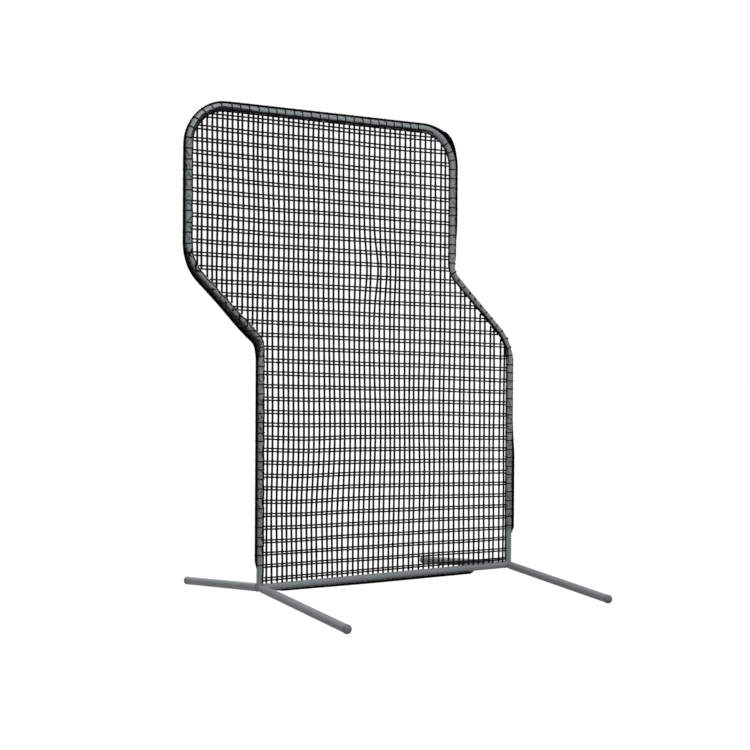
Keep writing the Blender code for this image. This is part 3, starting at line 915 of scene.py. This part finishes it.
def make_bunches(line):
    """Spare netting on the left slope, under the top rail and inside the right slope; the dark
    bunch under the top rail is partly painted shade of the rail's underside.
    """
    s, x, z = line.s, line.p[:, 0], line.p[:, 1]
    left = s < line.length / 2
    away = rope_seat(line, s)[1]
    loose, bunched_and_shade = Strands(CORD_SIDES), Strands(CORD_SIDES)

    # On the left slope
    part = s[left & (away > 0.0006)][::2]
    room = np.interp(part, s, away)
    thick = 0.0030 + 0.75 * room
    bundle(loose, line, part, TUBE_R * 0.97 + thick, radians(-36), thick,
           number=13, yarn=0.0021, seed=31)
    bundle(loose, line, part, TUBE_R * 0.90 + thick, radians(-22), thick * 0.7,
           number=5, yarn=0.0024, seed=33)
    thick = 0.0020 + 0.5 * room
    bundle(bunched_and_shade, line, part, TUBE_R + thick, radians(-6), thick,
           number=9, yarn=0.0024, seed=37)
    bundle(bunched_and_shade, line, part, TUBE_R + 0.8 * thick, radians(18), thick * 0.8,
           number=8, yarn=0.0023, seed=39)

    # Under the top rail, from the left: a dark bunch at the rail's lower front, partly gathered
    # netting and partly painted shade of the rail's underside
    part = s[(z > TOP_Z - 0.13) & (x < UPPER_X + HALF_WIDTH - CORNER_R + 0.05)][::2]
    begin, finish = part[0], part[-1]
    thick = 0.0012 + 0.0054 * rise(part, begin, 0.09) * fall(part, finish, 0.10)
    bundle(bunched_and_shade, line, part, TUBE_R + thick, radians(240), thick,
           number=11, yarn=0.0022, seed=47)
    finish = begin + 0.32
    part = part[part < finish]
    thick = 0.0012 + 0.0034 * rise(part, begin, 0.09) * fall(part, finish, 0.16)
    bundle(loose, line, part, TUBE_R + 0.5 * thick, radians(264), thick,
           number=5, yarn=0.0018, seed=49)

    # Inside the right slope
    part = s[~left & (z < SHOULDER_HIGH + 0.05) & (z > SHOULDER_LOW - 0.08)][::2]
    begin, finish = part[0], part[-1]
    thick = 0.0016 + 0.0036 * rise(part, begin, 0.30) * fall(part, finish, 0.08)
    angle = radians(192) + radians(30) * rise(part, begin, 0.30)
    bundle(bunched_and_shade, line, part, TUBE_R + thick, angle, thick, number=7, yarn=0.0017, seed=53)

    loose.build("loose_netting", SPARE)
    # The twine bunches also hold the painted shade under the top rail
    bunched_and_shade.build("bunched_netting_and_painted_shade", TWINE)


def make_selvage():
    """The net's edge cord along the tubes' inner side, and on the face of the left ones."""
    line = Route(frame_corners(RAIL_Z + 0.02, RAIL_Z + 0.02), 0.008)
    s, z = line.s, line.p[:, 1]
    left = s < line.length / 2
    wander = np.sin(2 * pi * s / 0.094) + 0.7 * np.sin(2 * pi * s / 0.061 + 1.0)
    above_slope = rise(z, SHOULDER_HIGH, 0.08)
    to_face = np.where(left, fall(z, TOP_Z - 0.10, 0.10), 0.0)
    low_post = np.where(left, fall(z, SHOULDER_LOW - 0.10, 0.20), 0.0)
    high_post = to_face * above_slope
    right_slope = np.where(left, 0.0, fall(z, SHOULDER_HIGH + 0.04, 0.06)
                           * rise(z, SHOULDER_LOW - 0.03, 0.06))
    round_face = radians(73) - radians(22) * above_slope + radians(7) * wander
    angle = radians(176) + round_face * to_face + radians(24) * right_slope
    thin = 1 - 0.3 * to_face
    radius = SELVAGE_R * (thin + 0.7 * low_post + 0.5 * high_post) * (1 + 0.15 * wander / 1.7)
    selvage = Strands(BEAD_SIDES)
    selvage.add(line.beside(s, TUBE_R + SELVAGE_R * thin, angle), radius)
    selvage.build("selvage_cord", LACE)


def make_foot_rope():
    """The net's lower rope, under the rail and a little to its front, thicker to the right; its
    thickness and its lean to the front also paint the shade on the rail's underside.
    """
    xs = np.arange(FOOT_ROPE_FROM, FOOT_ROPE_TO, 0.003)
    fade = rise(xs, FOOT_ROPE_FROM, 0.05) * fall(xs, FOOT_ROPE_TO, 0.02)
    growth = 1 + 0.5 * rise(xs, FOOT_ROPE_FROM, 0.50)
    radius = FOOT_ROPE_AND_SHADE_R * (0.35 + 0.65 * fade) * growth
    # The lean to the front spreads the rope over the rail's lower side as painted shade
    lean, reach = radians(18), TUBE_R + radius
    line = np.stack([xs, -reach * sin(lean), RAIL_Z - reach * cos(lean)], 1)
    foot = Strands(ROPE_SIDES)
    foot.add(line, lobed(radius, xs, FOOT_ROPE_LAY))
    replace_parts(foot.build("foot_rope_and_painted_shade", ROPE), "net_bottom_hem")


# Lacing

def strays_and_shade_beside(left, z):
    """Loose strands between two turns: many on the left tubes, few on the right; the crowd on the
    left lower post is partly painted shade that darkens that post.
    """
    if z > TOP_Z - CORNER_R:
        return 0
    if left:
        # Seven on the left lower post: real strands, and painted shade that darkens the post
        return 7 if 0.50 < z < SHOULDER_LOW else 4
    return 4 if z < 0.75 else 1


def make_lacing(line):
    """Turns of thin cord round the tubes and the edge rope, slanted or knotted on the slopes."""
    turns = Strands(CORD_SIDES)
    s, last = 0.012, line.length - 0.010
    while s < last:
        x, z = line.at(s, line.p)
        left = s < line.length / 2
        in_corner = z > TOP_Z - 0.045 and x - UPPER_X > HALF_WIDTH - CORNER_R
        on_slope = SHOULDER_LOW - 0.01 < z < SHOULDER_HIGH + (0.04 if left else 0.0)
        place = s + rng.uniform(-0.003, 0.003)
        if on_slope:
            if left:
                for _ in range(rng.choice((1, 2, 2, 3))):
                    slanted_turn(turns, line, place + rng.uniform(-0.008, 0.008),
                                 rng.uniform(-0.034, 0.040))
            else:
                knot_turn(turns, line, place, z)
            round_turn(turns, line, place, rear_only=True)
        elif not in_corner:
            round_turn(turns, line, place, tilt=rng.uniform(-0.0014, 0.0014))
            for _ in range(strays_and_shade_beside(left, z)):
                stray_strand(turns, line, place)
        s += LOW_TICK_STEP if z < SHOULDER_LOW else TICK_STEP
    turns.build("lacing_turns", LACE)


def round_turn(turns, line, s, tilt=0.0, rear_only=False):
    """One turn round the tube and the rope beside it, half sunk into the rope.

    Where other turns lie on the front, it covers the rear only.
    """
    angle, away, radius = (float(value) for value in rope_seat(line, s))
    aim = np.linspace(radians(-20), radians(200) - angle, 22) if rear_only else circle(28)
    tube, rope = TUBE_R + TICK_R * 0.7, radius * 0.92 - TICK_R * 0.4
    apart = TUBE_R + radius + away
    over = np.cos(aim) > (tube - rope) / apart
    out = np.where(over, apart + rope * np.cos(aim), tube * np.cos(aim))
    back = np.where(over, rope * np.sin(aim), tube * np.sin(aim))
    out, back = out * cos(angle) - back * sin(angle), out * sin(angle) + back * cos(angle)
    way, lean = line.along(s), tilt * np.sin(aim)
    flat = line.at(s, line.p) + line.at(s, line.o) * out[:, None]
    points = np.stack([flat[:, 0], back, flat[:, 1]], 1) + way * lean[:, None]
    turns.add(points, TICK_R, way, closed=not rear_only)


def stray_strand(turns, line, s):
    """A short loose strand that curls over the front of the tube between two turns."""
    part = np.linspace(0, 1, 12)
    low = rng.uniform(-165, -25)
    turn = rng.choice((-1, 1)) * rng.uniform(15, 70)
    bend = rng.uniform(-30, 30)
    angle = np.radians(np.clip(low + turn * part + bend * np.sin(pi * part), -185, -5))
    length = rng.uniform(0.15, 0.7)
    start = rng.uniform(0.05, 0.95 - length)
    places = s + LOW_TICK_STEP * (start + length * part)
    size = TICK_R * rng.uniform(0.3, 0.7) * (1.0 - 0.5 * np.abs(2 * part - 1))
    turns.add(line.beside(places, TUBE_R + TICK_R * 0.3, angle), size, (0, 0.3, 1))


def slanted_turn(turns, line, s, length):
    """A slanting turn over the front of the tube, from the bunch to the inner side."""
    part = np.linspace(0, 1, 14)
    angle = np.radians(rng.uniform(-70, -20) - rng.uniform(30, 120) * part)
    places = s + length * (part - 0.5)
    points = line.beside(places, TUBE_R + TICK_R * 0.5, angle)
    size = rng.uniform(0.5, 1.5) * (1 + 0.5 * np.sin(pi * part * rng.uniform(0.6, 2.0)))
    turns.add(points, TICK_R * size * (1.0 - 0.6 * part), line.along(s))


def knot_turn(turns, line, s, z):
    """A knot on the face of the tube and the thin turn that it ties."""
    part = np.linspace(0, 1, 16)
    down = np.clip((SHOULDER_HIGH - z) / SHOULDER_RISE, 0, 1)
    knot = -108 + 56 * down + rng.uniform(-8, 8)
    angle = np.radians(knot + (-160 - knot) * part)
    places = s + rng.uniform(-0.014, 0.014) * part
    points = line.beside(places, TUBE_R + TICK_R * 0.4, angle)
    way = line.along(s)
    turns.add(points, TICK_R * (0.7 - 0.5 * part), way)
    spot = line.beside(np.array([s]), TUBE_R + 0.0006, np.radians([knot]))[0]
    bead = np.linspace(-1, 1, 7)
    round_off = np.sqrt(np.clip(1.02 - bead ** 2, 0.02, 1))
    size = rng.uniform(0.8, 1.25)
    turns.add(spot + way * (bead * LACE_KNOT_REACH * size)[:, None],
              LACE_KNOT_R * size * round_off, (0, 1, 0.1))


# Stage, light and camera

WHITE = (1.0, 1.0, 1.0, 1.0)


def empty_tree(owner):
    """The nodes of a material or a world, with none in it yet."""
    owner.use_nodes = True
    owner.node_tree.nodes.clear()
    return owner.node_tree


def white_ray(tree):
    """1 for the rays that show the background itself: camera, mirror and see-through rays."""
    path = node(tree, "LightPath").outputs
    either = result_of(tree, "MAXIMUM", path["Is Camera Ray"], path["Is Glossy Ray"])
    return result_of(tree, "MAXIMUM", either, path["Is Transmission Ray"])


def blend_shaders(tree, share, first, second):
    """A mix of two shaders, by the share of the second one."""
    mixed = node(tree, "MixShader")
    tree.links.new(share, mixed.inputs["Fac"])
    tree.links.new(first.outputs[0], mixed.inputs[1])
    tree.links.new(second.outputs[0], mixed.inputs[2])
    return mixed.outputs[0]


def make_floor():
    """A pale floor that the camera sees almost as white as the background."""
    mesh = bpy.data.meshes.new("floor")
    size = 30.0
    corners = [(-size, -size, 0), (size, -size, 0), (size, size, 0), (-size, size, 0)]
    mesh.from_pydata(corners, [], [(0, 1, 2, 3)])
    mat = bpy.data.materials.new("pale_floor")
    tree = empty_tree(mat)
    diffuse = node(tree, "BsdfDiffuse", Color=(0.18, 0.18, 0.18, 1.0))
    glow = node(tree, "Emission", Color=WHITE, Strength=1.14)
    share = result_of(tree, "MULTIPLY", white_ray(tree), 0.90)
    out = node(tree, "OutputMaterial")
    tree.links.new(blend_shaders(tree, share, diffuse, glow), out.inputs["Surface"])
    mesh.materials.append(mat)
    new_object("floor", mesh)


def make_world():
    """A white background that lights the object only faintly."""
    world = bpy.data.worlds.new("studio")
    bpy.context.scene.world = world
    tree = empty_tree(world)
    shown = node(tree, "Background", Color=WHITE, Strength=1.0)
    lit = node(tree, "Background", Color=WHITE, Strength=0.24)
    out = node(tree, "OutputWorld")
    tree.links.new(blend_shaders(tree, white_ray(tree), lit, shown), out.inputs["Surface"])


def lamp(name, place, target, side, power):
    """A square area lamp that points at a target."""
    data = bpy.data.lights.new(name, "AREA")
    data.shape = "RECTANGLE"
    data.size, data.size_y = side, side
    data.energy = power
    obj = new_object(name, data)
    way = Vector(target) - Vector(place)
    obj.rotation_mode = "QUATERNION"
    obj.rotation_quaternion = way.to_track_quat("-Z", "Y")
    obj.location = place


def make_camera():
    """The photo's camera, as solved from the frame's corners."""
    place = (-3.073, -4.839, 0.958)
    yaw, pitch, roll = radians(33.010), radians(-0.801), radians(0.348)
    away = Vector((sin(yaw) * cos(pitch), cos(yaw) * cos(pitch), sin(pitch)))
    right = Vector((cos(yaw), -sin(yaw), 0))
    up = Vector((-sin(yaw) * sin(pitch), -cos(yaw) * sin(pitch), cos(pitch)))
    x_axis = right * cos(roll) + up * sin(roll)
    y_axis = up * cos(roll) - right * sin(roll)
    focal_pixels, photo_width = 1451.0, 750.0
    data = bpy.data.cameras.new("camera")
    data.sensor_width = 36.0
    data.lens = focal_pixels * data.sensor_width / photo_width
    obj = new_object("camera", data)
    turn = Matrix((x_axis, y_axis, -away)).transposed().to_4x4()
    obj.matrix_world = Matrix.Translation(place) @ turn
    bpy.context.scene.camera = obj


def finish_hidden_steel():
    """The finish of the spigots, sleeves and rivets, which keep their CAD shapes."""
    for name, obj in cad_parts.items():
        if "spigot" in name or "splice" in name:
            obj.data.materials.clear()
            obj.data.materials.append(STEEL if name.endswith("spigot") else ZINC)


make_camera()
make_tubes()
make_legs()
make_welds()
make_net()
rope_line = Route(frame_corners(RAIL_Z + EDGE_ROPE_LEFT_END, RAIL_Z + EDGE_ROPE_RIGHT_END), 0.003)
make_edge_rope(rope_line)
make_bunches(rope_line)
make_selvage()
make_foot_rope()
make_lacing(rope_line)
finish_hidden_steel()
make_floor()
make_world()
lamp("top_key", place=(-0.9, -3.6, 5.6), target=(0.0, 0.0, 0.9), side=3.0, power=195.0)
lamp("front", place=(-1.6, -5.0, 1.7), target=(0.1, 0.0, 1.0), side=2.0, power=42.0)
lamp("rear", place=(0.2, 3.4, 3.2), target=(0.5, 0.3, 0.1), side=2.5, power=60.0)
bpy.context.scene.view_settings.view_transform = "Standard"
